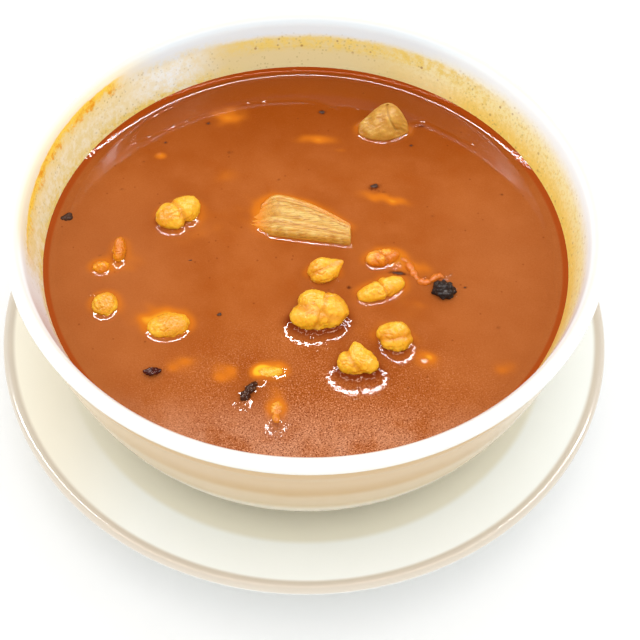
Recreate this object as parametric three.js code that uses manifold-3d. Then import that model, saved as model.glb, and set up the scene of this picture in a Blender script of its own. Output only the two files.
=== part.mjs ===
// A white soup bowl of menudo on its underplate: red chile broth with hominy, tripe, a chunk of
// meat and dark flakes. Millimetres, +Z up, origin on the table under the middle of the plate.
import * as THREE from "three";
import { mergeVertices } from "three/addons/utils/BufferGeometryUtils.js";
import Module from "manifold-3d";

const wasm = await Module();
wasm.setup();

// Driving dimensions.
const GAP = 0.3; // clearance between pieces that touch
const POCKET_GAP = 0.4; // clearance between the broth and the pieces it lies round
const SIDES = 48; // facets round the bowl, the plate and the broth
const WALL_STEPS = 8; // rings of facets up the bowl's wall
const RIM_R = 85; // widest radius of the bowl's rolled rim
const RIM_Z = 72; // height of that widest line above the table
const RIM_TOP = 2.2; // the roll's height above its widest line
const RIM_WALL = 4.7; // thickness of the roll, from inside to outside
const SOUP_Z = 55.2; // level of the broth
const PLATE_R = 95.7; // radius of the underplate
const PLATE_EDGE_Z = 22; // height of the plate's widest line
const PLATE_EDGE = 3.6; // thickness of the plate's rounded edge
const WELL_Z = 6; // level of the plate's well, where the bowl stands
const WELL_R = 48; // radius of that well
const BOWL_FOOT_R = 46; // outer radius of the bowl's foot ring
const BOWL_FOOT_Z = WELL_Z + GAP; // underside of the bowl's foot ring
const PLATE_FOOT_R = 53; // outer radius of the plate's foot ring
const FOOT_WALL = 6; // width of each foot ring
const FOOT_RECESS = 2.4; // how far the base lies above each foot ring
const FLOOR_Z = 12.5; // inside bottom of the bowl
const FLOOR_R = 40; // radius of that flat floor

// Handles of the curved walls, as (radius, height), from the top down.
const BOWL_INSIDE = [[76.2, 47], [71, FLOOR_Z + 1.5]];
const BOWL_OUTSIDE = [[79.5, 33], [70, 10], [50, 9.5]];
const PLATE_UNDERSIDE = [[84, 13], [68, 4.4]];
const PLATE_TOPSIDE = [[82, 17.5], [64, WELL_Z + 1]];

const GLAZE = { color: 0xf6f3ea, roughness: 0.12, metalness: 0 };
const BROTH = { color: 0xb85a1c, roughness: 0.15, metalness: 0 };
const HOMINY = { color: 0xf2b84a, roughness: 0.35, metalness: 0 };
const TRIPE = { color: 0xe2a850, roughness: 0.4, metalness: 0 };
const MEAT = { color: 0xd9ae5c, roughness: 0.5, metalness: 0 };

const radians = THREE.MathUtils.degToRad;
const lerp = THREE.MathUtils.lerp;
const smooth = THREE.MathUtils.smoothstep;

// ---------------------------------------------------------------- helpers

function merged(geometry) {
  const bare = geometry.index ? geometry.toNonIndexed() : geometry.clone();
  bare.deleteAttribute("normal");
  bare.deleteAttribute("uv");
  return mergeVertices(bare, 1e-3);
}

function toSolid(geometry) {
  const closed = merged(geometry);
  return new wasm.Manifold(
    new wasm.Mesh({
      numProp: 3,
      vertProperties: closed.attributes.position.array,
      triVerts: new Uint32Array(closed.index.array),
    }),
  );
}

function fromSolid(solid) {
  const { vertProperties, triVerts } = solid.getMesh();
  const geometry = new THREE.BufferGeometry();
  geometry.setAttribute("position", new THREE.BufferAttribute(vertProperties, 3));
  geometry.setIndex(new THREE.BufferAttribute(triVerts, 1));
  geometry.computeVertexNormals();
  return geometry;
}

function named(name, geometry, look) {
  const mesh = new THREE.Mesh(geometry, new THREE.MeshStandardMaterial(look));
  mesh.name = name;
  return mesh;
}

// A profile of (radius, height) points turned round the Z axis.
function turned(points) {
  return new THREE.LatheGeometry(points, SIDES).rotateX(Math.PI / 2);
}

function bezier(a, b, c, d) {
  const [p, q, r, s] = [a, b, c, d].map(([x, y]) => new THREE.Vector2(x, y));
  return new THREE.CubicBezierCurve(p, q, r, s);
}

// An open run of (radius, height) points moved by a distance to the right of its travel.
function offsetRun(points, distance) {
  return points.map((p, i) => {
    const before = points[Math.max(i - 1, 0)];
    const after = points[Math.min(i + 1, points.length - 1)];
    const along = after.clone().sub(before).normalize();
    return new THREE.Vector2(p.x + along.y * distance, p.y - along.x * distance);
  });
}

// ---------------------------------------------------------------- bowl and plate

// The inside of the bowl, from just under the roll down to the flat floor.
function innerWall(steps) {
  const top = [RIM_R - RIM_WALL, RIM_Z - 0.8];
  return bezier(top, ...BOWL_INSIDE, [FLOOR_R, FLOOR_Z]).getPoints(steps);
}

// The outside of the bowl, from the foot ring up to the small ridge under the roll.
function outerWall(steps) {
  const top = [RIM_R - 2.3, RIM_Z - 8.6];
  return bezier(top, ...BOWL_OUTSIDE).getPoints(steps).reverse();
}

// The roll: a ridge, a hollow under the overhang, then a rounded bead over to the inside.
function roll() {
  const path = new THREE.Path();
  path.moveTo(RIM_R - 1.9, RIM_Z - 7.2);
  path.quadraticCurveTo(RIM_R - 2.2, RIM_Z - 6.3, RIM_R - 2.7, RIM_Z - 5);
  path.quadraticCurveTo(RIM_R - 0.1, RIM_Z - 3.2, RIM_R, RIM_Z);
  path.quadraticCurveTo(RIM_R, RIM_Z + RIM_TOP, RIM_R - RIM_WALL / 2, RIM_Z + RIM_TOP);
  path.quadraticCurveTo(RIM_R - RIM_WALL + 0.1, RIM_Z + RIM_TOP, RIM_R - RIM_WALL, RIM_Z - 0.8);
  return path.getPoints(2);
}

function makeBowl() {
  const foot = [
    new THREE.Vector2(0, BOWL_FOOT_Z + FOOT_RECESS),
    new THREE.Vector2(BOWL_FOOT_R - FOOT_WALL, BOWL_FOOT_Z + FOOT_RECESS),
    new THREE.Vector2(BOWL_FOOT_R - FOOT_WALL + 1, BOWL_FOOT_Z),
    new THREE.Vector2(BOWL_FOOT_R - 1, BOWL_FOOT_Z),
    new THREE.Vector2(BOWL_FOOT_R, BOWL_FOOT_Z + FOOT_RECESS),
  ];
  const inside = [...innerWall(WALL_STEPS).slice(1), new THREE.Vector2(0, FLOOR_Z)];
  return turned([...foot, ...outerWall(WALL_STEPS), ...roll(), ...inside]);
}

function makePlate() {
  const low = PLATE_EDGE_Z - PLATE_EDGE / 2;
  const high = PLATE_EDGE_Z + PLATE_EDGE / 2;
  const shoulder = PLATE_R - PLATE_EDGE / 2;
  const path = new THREE.Path();
  path.moveTo(0, FOOT_RECESS);
  path.lineTo(PLATE_FOOT_R - FOOT_WALL, FOOT_RECESS);
  path.lineTo(PLATE_FOOT_R - FOOT_WALL + 1, 0);
  path.lineTo(PLATE_FOOT_R - 1, 0);
  path.lineTo(PLATE_FOOT_R, FOOT_RECESS);
  path.bezierCurveTo(...PLATE_UNDERSIDE[1], ...PLATE_UNDERSIDE[0], shoulder, low);
  path.quadraticCurveTo(PLATE_R, low + 0.2, PLATE_R, PLATE_EDGE_Z);
  path.quadraticCurveTo(PLATE_R, high - 0.1, shoulder, high);
  path.bezierCurveTo(...PLATE_TOPSIDE.flat(), WELL_R, WELL_Z);
  path.lineTo(0, WELL_Z);
  return turned(path.getPoints(4));
}

// ---------------------------------------------------------------- things in the broth

// A unit vector from a compass angle round Z and a height angle, in degrees.
function toward(azimuth, elevation) {
  const level = Math.cos(radians(elevation));
  const z = Math.sin(radians(elevation));
  return new THREE.Vector3(
    level * Math.cos(radians(azimuth)),
    level * Math.sin(radians(azimuth)),
    z,
  );
}

// Share by which a lump swells in a direction: a bump swells round its own direction, and a
// groove narrows it along the great circle square to its direction.
function swelling(direction, bumps, grooves) {
  let share = 1;
  for (const [azimuth, elevation, height, sharpness] of bumps) {
    const nearness = direction.dot(toward(azimuth, elevation)) - 1;
    share += height * Math.exp(sharpness * nearness);
  }
  for (const [azimuth, elevation, depth, sharpness] of grooves) {
    const off = direction.dot(toward(azimuth, elevation));
    share -= depth * Math.exp(-sharpness * off * off);
  }
  return share;
}

// An ellipsoid with bumps and grooves, grown outwards by a distance.
function lumpGeometry({ size, bumps = [], grooves = [], detail = 2 }, grow = 0) {
  const geometry = merged(new THREE.IcosahedronGeometry(1, detail));
  const place = geometry.attributes.position;
  const point = new THREE.Vector3();
  for (let i = 0; i < place.count; i++) {
    point.fromBufferAttribute(place, i).normalize();
    const stretch = Math.hypot(point.x / size[0], point.y / size[1], point.z / size[2]);
    point.multiplyScalar(swelling(point, bumps, grooves) / stretch + grow);
    place.setXYZ(i, point.x, point.y, point.z);
  }
  geometry.computeVertexNormals();
  return geometry;
}

// A long piece lofted along X. Each station gives its x, the y of its front and back edges and
// its low and high z. Sections are rounded boxes that lean back above the broth.
function loftGeometry(station, shape, grow = 0) {
  const { steps, around, roundness, lean = 0, ridges = 0, ridge = 0 } = shape;
  const points = [];
  for (let i = 0; i <= steps; i++) {
    const { x, front, back, low, high } = station(i / steps);
    const outward = i === 0 ? -grow : i === steps ? grow : 0;
    for (let j = 0; j < around; j++) {
      const turn = (2 * Math.PI * j) / around;
      const across = Math.sign(Math.cos(turn)) * Math.abs(Math.cos(turn)) ** roundness;
      const up = Math.sign(Math.sin(turn)) * Math.abs(Math.sin(turn)) ** roundness;
      const rib = ridge * Math.max(up, 0) * Math.cos(Math.PI * ridges * across);
      const z = (low + high) / 2 + ((high - low) / 2 + grow) * up + rib;
      const y = (front + back) / 2 + ((back - front) / 2 + grow) * across + lean * Math.max(z, 0);
      points.push(x + outward, y, z);
    }
  }
  const geometry = new THREE.BufferGeometry();
  geometry.setAttribute("position", new THREE.Float32BufferAttribute(points, 3));
  geometry.setIndex(loftFaces(steps, around));
  geometry.computeVertexNormals();
  return geometry;
}

// Triangles of a loft: a band between each two sections, and a fan over each end.
function loftFaces(steps, around) {
  const faces = [];
  for (let i = 0; i < steps; i++) {
    for (let j = 0; j < around; j++) {
      const a = i * around + j;
      const b = i * around + ((j + 1) % around);
      faces.push(a, b, a + around, b, b + around, a + around);
    }
  }
  const last = steps * around;
  for (let j = 1; j < around - 1; j++) {
    faces.push(0, j + 1, j, last, last + j, last + j + 1);
  }
  return faces;
}

// The tripe slab: ribbed along its length, cut square at the right and sunk at the left.
const TRIPE_SHAPE = { steps: 10, around: 24, roundness: 0.45, ridges: 5, ridge: 0.22 };
function tripeStation(u) {
  const x = lerp(-17.6, 13.1, u);
  const right = THREE.MathUtils.clamp((x + 11) / 24, 0, 1);
  const left = Math.max(0, (-11 - x) / 7);
  return {
    x,
    front: 3.2 - 2.9 * right + 4.6 * left,
    back: 18 - 11 * right ** 1.7 - 6.4 * left ** 1.3,
    low: -3.4,
    high: -1.1 + 3.7 * smooth(x, -18, -8) - 0.5 * right,
  };
}

// The meat chunk: a wedge with its crest towards the back right, thin at both ends.
const MEAT_SHAPE = { steps: 8, around: 14, roundness: 0.85, lean: 0.42 };
function meatStation(u) {
  return {
    x: lerp(15.4, 31.6, u),
    front: 44.3 + 13 * (u - 0.45) ** 2,
    back: 54.6 - 16 * (u - 0.5) ** 2,
    low: -1 - 2.6 * Math.sin(Math.PI * u),
    high: 1 + 5.5 * Math.sin(Math.PI * u ** 1.35),
  };
}

// Lumps of food: the place of the middle in the bowl, how far it stands above the broth's level,
// the half sizes, the heading in degrees, then bumps and grooves as swelling() reads them.
const LUMPS = [
  {
    name: "hominy_large",
    at: [4.3, -25.4],
    rise: 1,
    size: [7.7, 6.2, 4.9],
    turn: 5,
    bumps: [[-105, 15, 0.16, 3], [100, 35, 0.12, 5], [-10, 15, 0.12, 10], [170, 20, 0.08, 8]],
    grooves: [[-95, -38, 0.13, 22], [60, 20, 0.07, 30]],
    detail: 3,
  },
  {
    name: "hominy_finger",
    at: [5.2, -10.6],
    rise: 0.7,
    size: [5, 3.9, 3.4],
    turn: 10,
    bumps: [[8, 30, 0.42, 14], [120, 40, 0.12, 6], [-120, 10, 0.1, 5]],
    grooves: [[-70, -25, 0.12, 25]],
    detail: 3,
  },
  {
    name: "hominy_twin",
    at: [-39.3, 10.2],
    rise: 0.4,
    size: [6.8, 5.2, 3.6],
    turn: 38,
    bumps: [[180, 5, 0.12, 4], [0, 20, 0.14, 4]],
    grooves: [[0, 0, 0.2, 16]],
    detail: 3,
  },
  {
    name: "hominy_thumb",
    at: [14.8, -42.2],
    rise: 0.7,
    size: [5.4, 4.3, 3.9],
    turn: 0,
    bumps: [[100, 45, 0.36, 14], [-20, 15, 0.14, 6], [-150, 5, 0.12, 7]],
    grooves: [[25, 35, 0.16, 24]],
    detail: 3,
  },
  {
    name: "hominy_right",
    at: [25.6, -33.4],
    rise: 0.6,
    size: [5.1, 4.5, 3.8],
    turn: -15,
    bumps: [[60, 50, 0.1, 6], [200, 20, 0.1, 8]],
    grooves: [[-60, -40, 0.1, 25]],
    detail: 3,
  },
  {
    name: "hominy_left",
    at: [-38.2, -31],
    rise: -1,
    size: [5.9, 4.2, 2.9],
    turn: 8,
    bumps: [[20, 30, 0.12, 6]],
  },
  {
    name: "hominy_wall",
    at: [-57, -24.2],
    rise: -1,
    size: [3.7, 4.1, 2.8],
    turn: 0,
    bumps: [[60, 40, 0.1, 8]],
  },
  {
    name: "hominy_ragged",
    at: [22.2, -16.2],
    rise: -0.4,
    size: [7, 3.5, 2.6],
    turn: 25,
    bumps: [[0, 25, 0.12, 6], [180, 15, 0.12, 6], [90, 20, 0.1, 10]],
    grooves: [[5, 0, 0.22, 18]],
  },
  {
    name: "tripe_strip",
    at: [22.4, -4.5],
    rise: -0.4,
    size: [5.2, 3, 2.3],
    turn: 20,
    bumps: [[0, 10, 0.1, 8], [150, 30, 0.12, 8]],
    grooves: [[20, 0, 0.15, 20]],
  },
  {
    name: "hominy_upright",
    at: [-55.2, -4.6],
    rise: -0.2,
    size: [2, 4.4, 2.6],
    turn: 3,
    bumps: [[90, 40, 0.15, 6]],
  },
  {
    name: "hominy_nub",
    at: [-60, -10.6],
    rise: -1.2,
    size: [2.6, 2.3, 2],
    turn: 0,
  },
  {
    name: "hominy_tip",
    at: [-9.2, -45.2],
    rise: -2.4,
    size: [5, 2.7, 2.4],
    turn: 5,
    bumps: [[0, 45, 0.35, 18]],
  },
  {
    name: "hominy_end",
    at: [-6.6, -57.8],
    rise: -2.4,
    size: [2.5, 4.6, 2.6],
    turn: 0,
    bumps: [[-90, 40, 0.35, 14]],
  },
];

// The thin curl of tripe that trails from the strip, as points above the broth's level.
const CURL_RADIUS = 0.85;
const CURL = [
  [26.2, -3, -0.6],
  [29.4, -4.6, 0],
  [30.8, -7.6, 0.3],
  [32.4, -10.8, 0],
  [34.4, -12.6, 0.2],
  [36.4, -12, 0.3],
  [38.5, -10.2, 0.2],
  [40.5, -10.5, 0.2],
];

// Dark flakes that lie in the surface: burnt chile, herb, a strip of chile skin and bits.
const FLAKES = [
  { at: [40, -15.7], size: [3.2, 2.8, 1.7], turn: -10, detail: 2, bumps: flakeBumps(5, 0.22) },
  { at: [-13.3, -51.2], size: [4, 1.6, 1.1], turn: 52, detail: 2, bumps: flakeBumps(4, 0.25) },
  { at: [-40.9, -46.5], size: [3.2, 1.3, 0.8], turn: 4, detail: 1 },
  { at: [-73, 8.6], size: [2, 1.5, 0.9], turn: 30, detail: 1 },
  { at: [27, -9.4], size: [2.6, 0.8, 0.5], turn: 5, detail: 1 },
  { at: [20.6, 25], size: [1.9, 1.3, 0.8], turn: 20, detail: 1 },
  { at: [3.4, 57.2], size: [1.7, 1.1, 0.7], turn: 0, detail: 1 },
  { at: [-24.2, -26.2], size: [1.2, 1, 0.7], turn: 30, detail: 1 },
];

// A ring of knobs round a flake.
function flakeBumps(count, height) {
  return Array.from({ length: count }, (_, i) => [(360 * i) / count, 25, height, 12]);
}

function curlGeometry(grow = 0) {
  const path = new THREE.CatmullRomCurve3(CURL.map(([x, y, z]) => new THREE.Vector3(x, y, z)));
  const section = new THREE.Shape();
  section.absarc(0, 0, CURL_RADIUS + grow, 0, 2 * Math.PI);
  return new THREE.ExtrudeGeometry(section, { steps: 12, curveSegments: 4, extrudePath: path });
}

// A lump as it lies in the bowl.
function placedLump(spec, grow = 0) {
  const geometry = lumpGeometry(spec, grow);
  geometry.rotateZ(radians(spec.turn));
  return geometry.translate(spec.at[0], spec.at[1], SOUP_Z + (spec.rise ?? 0));
}

function atSoup(geometry) {
  return geometry.translate(0, 0, SOUP_Z);
}

function makeStrip(spec, grow = 0) {
  return toSolid(placedLump(spec, grow)).add(toSolid(atSoup(curlGeometry(grow))));
}

// Every piece that stands in the broth, as a solid grown outwards by a distance.
function pieces(grow = 0) {
  const lumps = LUMPS.map((spec) => ({
    name: spec.name,
    look: spec.name.startsWith("tripe") ? TRIPE : HOMINY,
    solid: spec.name === "tripe_strip" ? makeStrip(spec, grow) : toSolid(placedLump(spec, grow)),
  }));
  const tripe = toSolid(atSoup(loftGeometry(tripeStation, TRIPE_SHAPE, grow)));
  const meat = toSolid(atSoup(loftGeometry(meatStation, MEAT_SHAPE, grow)));
  return [
    ...lumps,
    { name: "tripe_slab", look: TRIPE, solid: tripe },
    { name: "meat_chunk", look: MEAT, solid: meat },
  ];
}

// The broth fills the bowl up to its level, carries the flakes and is cut round each piece.
function makeBroth() {
  const run = offsetRun(innerWall(WALL_STEPS), GAP);
  const wall = run.filter((p) => p.y < SOUP_Z);
  const above = run[run.length - wall.length - 1];
  const share = (SOUP_Z - wall[0].y) / (above.y - wall[0].y);
  const shore = wall[0].clone().lerp(above, share);
  const floor = FLOOR_Z + GAP;
  const side = [shore, ...wall].reverse();
  const profile = [new THREE.Vector2(0, floor), ...side, new THREE.Vector2(0, SOUP_Z)];
  let broth = toSolid(turned(profile));
  for (const flake of FLAKES) broth = broth.add(toSolid(placedLump(flake)));
  for (const piece of pieces(POCKET_GAP)) broth = broth.subtract(piece.solid);
  return fromSolid(broth);
}

const menudo = new THREE.Group();
menudo.add(named("plate", makePlate(), GLAZE));
menudo.add(named("bowl", makeBowl(), GLAZE));
menudo.add(named("broth", makeBroth(), BROTH));
for (const { name, look, solid } of pieces()) menudo.add(named(name, fromSolid(solid), look));

export default menudo;
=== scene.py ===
"""A white soup bowl of menudo on its underplate, standing on a pale table.

Shapes are worked out in millimetres, +Z up, and put_mesh() turns them into metres. A shape is its
points, a list of arrays of faces with equal corners, and its fields, which are numbers for each
point that a material reads by name. Azimuths and turns are in degrees round +Z from +X, and
elevations are in degrees above the level."""

import math
from collections import namedtuple

import bpy
import numpy as np
from mathutils import Matrix, Vector


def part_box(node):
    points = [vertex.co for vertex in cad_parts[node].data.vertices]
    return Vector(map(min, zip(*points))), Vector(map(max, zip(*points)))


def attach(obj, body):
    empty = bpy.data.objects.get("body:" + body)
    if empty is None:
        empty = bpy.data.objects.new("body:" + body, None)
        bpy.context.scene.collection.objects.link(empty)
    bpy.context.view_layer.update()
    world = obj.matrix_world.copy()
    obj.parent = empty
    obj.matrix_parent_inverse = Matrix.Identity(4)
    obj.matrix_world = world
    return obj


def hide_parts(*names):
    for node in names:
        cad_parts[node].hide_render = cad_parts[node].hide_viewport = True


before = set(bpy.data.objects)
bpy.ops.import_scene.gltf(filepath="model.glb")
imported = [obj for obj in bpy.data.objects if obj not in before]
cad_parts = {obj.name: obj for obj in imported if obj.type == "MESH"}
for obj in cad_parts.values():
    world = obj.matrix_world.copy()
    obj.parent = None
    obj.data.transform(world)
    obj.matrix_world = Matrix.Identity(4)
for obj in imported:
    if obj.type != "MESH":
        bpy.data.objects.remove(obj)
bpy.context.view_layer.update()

MM = 0.001

# Driving dimensions, in millimetres, from the frame.
RIM_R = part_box("bowl")[1].x / MM
RIM_TOP_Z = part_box("bowl")[1].z / MM
BOWL_FOOT_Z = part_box("bowl")[0].z / MM
PLATE_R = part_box("plate")[1].x / MM
PLATE_TOP_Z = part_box("plate")[1].z / MM
RIM_ROLL = 2.2  # height of the rolled rim above its widest line
RIM_Z = RIM_TOP_Z - RIM_ROLL
RIM_WALL = 4.7  # thickness of the roll
LEVEL_DROP = 19.3  # from the top of the rim down to the level that food is measured from
FOOD_Z = RIM_TOP_Z - LEVEL_DROP
SOUP_Z = FOOD_Z - 0.8  # the flat broth, before it climbs the wall and the food
FOOT_RECESS = 2.4
BOWL_FOOT_R = 46
PLATE_FOOT_R = 53
FOOT_WALL = 6
PLATE_EDGE = 3.6
WELL_Z = 6
WELL_R = 48
FLOOR_Z = 12.5
FLOOR_R = 40
ROUND_STEPS = 256  # points round the bowl and the plate


# -------------------------------- meshes from whole arrays


def new_object(name, data):
    thing = bpy.data.objects.new(name, data)
    bpy.context.collection.objects.link(thing)
    return thing


def put_mesh(name, shape, look):
    """An object from a shape and a material."""
    points, faces, fields = shape
    mesh = bpy.data.meshes.new(name)
    mesh.vertices.add(len(points))
    mesh.vertices.foreach_set("co", (points * MM).astype(np.float32).ravel())
    corners = np.concatenate([block.ravel() for block in faces]).astype(np.int32)
    sizes = np.concatenate([np.full(len(block), block.shape[1]) for block in faces])
    starts = np.concatenate([[0], np.cumsum(sizes)[:-1]]).astype(np.int32)
    mesh.loops.add(len(corners))
    mesh.loops.foreach_set("vertex_index", corners)
    mesh.polygons.add(len(sizes))
    mesh.polygons.foreach_set("loop_start", starts)
    mesh.polygons.foreach_set("use_smooth", np.ones(len(sizes), bool))
    mesh.update(calc_edges=True)
    for field, values in fields.items():
        layer = mesh.attributes.new(field, "FLOAT", "POINT")
        layer.data.foreach_set("value", values.astype(np.float32))
    mesh.materials.append(look)
    return new_object(name, mesh)


def headings(count):
    """Even headings round a circle, in radians."""
    return np.arange(count) * 2 * np.pi / count


def spokes(count):
    """Unit vectors on the level at even headings."""
    return np.stack([np.cos(headings(count)), np.sin(headings(count))], -1)


def raised(places, height):
    """Points from places on the level and their heights."""
    height = np.broadcast_to(height, places.shape[:-1])
    return np.concatenate([places, height[..., None]], -1)


def spun(points, turns):
    """Points turned about Z."""
    cosine, sine = np.cos(np.radians(turns)), np.sin(np.radians(turns))
    x, y, z = np.moveaxis(points, -1, 0)
    return np.stack([x * cosine - y * sine, x * sine + y * cosine, z], -1)


def band_faces(rows, columns):
    """Quads between neighbouring rows of points, where each row closes on itself."""
    i, j = np.meshgrid(np.arange(rows - 1), np.arange(columns), indexing="ij")
    a = i * columns + j
    b = i * columns + (j + 1) % columns
    return np.stack([a, b, b + columns, a + columns], -1).reshape(-1, 4)


def sheet_faces(rows, columns):
    """Quads between neighbouring points of an open grid."""
    i, j = np.meshgrid(np.arange(rows - 1), np.arange(columns - 1), indexing="ij")
    a = (i * columns + j).ravel()
    return np.stack([a, a + 1, a + columns + 1, a + columns], -1)


def fan(tip, ring):
    """Triangles from one point to each edge of a closed ring of points, all by number."""
    return np.stack([0 * ring + tip, ring, np.roll(ring, -1)], -1)


def ends_once(grid):
    """A grid's values in a row, with those of its first and last rows given once."""
    return np.concatenate([grid[0, :1], grid[1:-1].reshape(-1, *grid.shape[2:]), grid[-1, :1]])


def closed_shape(grid, fields=None):
    """A closed shape from a grid whose rows run round it and whose first and last rows are each
    one point: quads between rows, and a fan of triangles at each end."""
    rows, columns = grid.shape[:2]
    points = ends_once(grid)
    ring = np.arange(columns) + 1
    last = len(points) - 1
    faces = [band_faces(rows - 2, columns) + 1, fan(0, ring[::-1]), fan(last, ring + last - columns - 1)]
    return points, faces, {key: ends_once(values) for key, values in (fields or {}).items()}


def joined(shapes):
    """Several shapes with like fields as one."""
    points, faces, fields = zip(*shapes)
    starts = np.cumsum([0] + [len(block) for block in points])
    faces = [block + start for blocks, start in zip(faces, starts) for block in blocks]
    fields = {key: np.concatenate([each[key] for each in fields]) for key in fields[0]}
    return np.concatenate(points), faces, fields


def copies(shape, places, scales, turns, fields):
    """A shape repeated as one mesh: each copy is scaled along its own axes, turned about Z, moved
    to its place and given its number in each field."""
    points, faces, _ = shape
    placed = spun(points * scales[:, None], turns[:, None]) + places[:, None]
    starts = (np.arange(len(placed)) * len(points))[:, None, None]
    faces = [(block + starts).reshape(-1, block.shape[1]) for block in faces]
    fields = {key: np.repeat(values, len(points)) for key, values in fields.items()}
    return placed.reshape(-1, 3), faces, fields


def turned(profile):
    """Grid of a shape turned round Z: a profile of (radius, height) carried round a circle."""
    radius, height = np.asarray(profile).T[:, :, None]
    return raised(radius[..., None] * spokes(ROUND_STEPS), height)


def bezier(points, steps):
    """Points of a Bezier curve: each end and handle weighted by its Bernstein polynomial."""
    t = np.linspace(0, 1, steps + 1)[:, None]
    n = len(points) - 1
    weights = [math.comb(n, i) * (1 - t) ** (n - i) * t**i for i in range(n + 1)]
    return sum(weight * np.array(point, float) for weight, point in zip(weights, points))


def smooth_path(knots, steps):
    """Points of a Catmull-Rom curve through the knots, at even steps of its parameter."""
    knots = np.array(knots, float)
    p = np.array([2 * knots[0] - knots[1], *knots, 2 * knots[-1] - knots[-2]])
    t = np.linspace(0, len(knots) - 1 - 1e-9, steps)
    i = t.astype(int)
    f = (t - i)[:, None]
    a, b, c, d = p[i], p[i + 1], p[i + 2], p[i + 3]
    square = (2 * a - 5 * b + 4 * c - d) * f**2
    return 0.5 * (2 * b + (c - a) * f + square + (3 * b - a - 3 * c + d) * f**3)


def rounded(points, radius, steps=4):
    """A run of straight lines whose corners are rounded by quadratic curves."""
    points = [np.array(p, float) for p in points]
    run = [points[0][None]]
    for before, corner, after in zip(points, points[1:], points[2:]):
        back, ahead = before - corner, after - corner
        reach = [min(radius, 0.45 * np.linalg.norm(v)) / np.linalg.norm(v) for v in (back, ahead)]
        run.append(bezier([corner + back * reach[0], corner, corner + ahead * reach[1]], steps))
    return np.concatenate([*run, points[-1][None]])


def unit(vectors):
    return vectors / np.linalg.norm(vectors, axis=-1, keepdims=True)


def toward(azimuth, elevation):
    """Unit vector in a direction."""
    a, e = math.radians(azimuth), math.radians(elevation)
    return np.array([math.cos(e) * math.cos(a), math.cos(e) * math.sin(a), math.sin(e)])


def smooth(value, low, high):
    """0 below low, 1 above high, with a smooth S between them."""
    t = np.clip((value - low) / (high - low), 0, 1)
    return t * t * (3 - 2 * t)


def ripple(points, wavelength, seed, waves=28):
    """Uneven relief of about -1 to 1: a sum of sine waves of about one wavelength, which run in
    seeded directions."""
    draw = np.random.default_rng(seed)
    directions = unit(draw.normal(size=(waves, points.shape[-1])))
    directions *= draw.uniform(0.65, 1.5, (waves, 1)) * 2 * np.pi / wavelength
    phase = draw.uniform(0, 2 * np.pi, waves)
    return np.sin(points @ directions.T + phase).sum(-1) / math.sqrt(waves)


# -------------------------------- bowl and plate


def inside_wall(steps=64):
    """The bowl's inside as (radius, height), from just under the roll down to the floor."""
    top = (RIM_R - RIM_WALL + 0.3, RIM_Z - 0.8)
    return bezier([top, (75.6, 47), (71, FLOOR_Z + 1.5), (FLOOR_R, FLOOR_Z)], steps)


def foot_profile(radius, z, after):
    """The recess, the foot ring down from z, and the start of the outside."""
    inner = radius - FOOT_WALL
    ring = [(inner, z), (inner + 1, z - FOOT_RECESS), (radius - 1, z - FOOT_RECESS)]
    return rounded([(0, z), *ring, (radius, z), after], 0.7)[:-1]


def bowl_profile():
    """Foot ring, outside wall, a small ridge, the rolled rim, inside wall and floor."""
    foot = foot_profile(BOWL_FOOT_R, BOWL_FOOT_Z + FOOT_RECESS, (50, 9.5))
    wall = bezier([(50, 9.5), (70, 10), (79.5, 33), (RIM_R - 2.3, RIM_Z - 8.6)], 48)
    ridge = bezier([(RIM_R - 1.9, RIM_Z - 7.2), (RIM_R - 2.2, RIM_Z - 6.3), (RIM_R - 2.7, RIM_Z - 5)], 5)
    cove = bezier([ridge[-1], (RIM_R - 0.1, RIM_Z - 3.2), (RIM_R, RIM_Z)], 10)
    over = bezier([cove[-1], (RIM_R, RIM_TOP_Z), (RIM_R - 2, RIM_TOP_Z)], 10)
    lip = bezier([over[-1], (RIM_R - 3.2, RIM_TOP_Z - 0.1), inside_wall()[0]], 10)
    parts = [foot, wall, ridge, cove[1:], over[1:], lip[1:], inside_wall()[1:], [(0, FLOOR_Z)]]
    return np.concatenate(parts)


def plate_profile():
    """Foot ring, underside, rounded edge, sloping top and flat well."""
    low = PLATE_TOP_Z - PLATE_EDGE
    shoulder = PLATE_R - PLATE_EDGE / 2
    foot = foot_profile(PLATE_FOOT_R, FOOT_RECESS, (56, 2.9))
    under = bezier([(PLATE_FOOT_R, FOOT_RECESS), (68, 4.4), (84, 13), (shoulder, low)], 40)
    edge = bezier([under[-1], (PLATE_R, low + 0.2), (PLATE_R, PLATE_TOP_Z - PLATE_EDGE / 2)], 8)
    top = bezier([edge[-1], (PLATE_R, PLATE_TOP_Z - 0.1), (shoulder, PLATE_TOP_Z)], 8)
    slope = bezier([top[-1], (82, 17.5), (64, WELL_Z + 1), (WELL_R, WELL_Z)], 48)
    return np.concatenate([foot, under[6:], edge[1:], top[1:], slope[1:], [(0, WELL_Z)]])


# -------------------------------- kernels and strips

# A lump of food: the place of its middle, its height above the level, its half sizes and its turn.
# Lobes are (count, height, sharpness). The meniscus is how far the broth climbs the lump, and over
# what distance. Bumps and grooves are (azimuth, elevation, height, sharpness).
Lump = namedtuple("Lump", "at rise size turn lobes meniscus bumps grooves", defaults=([], []))

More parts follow.
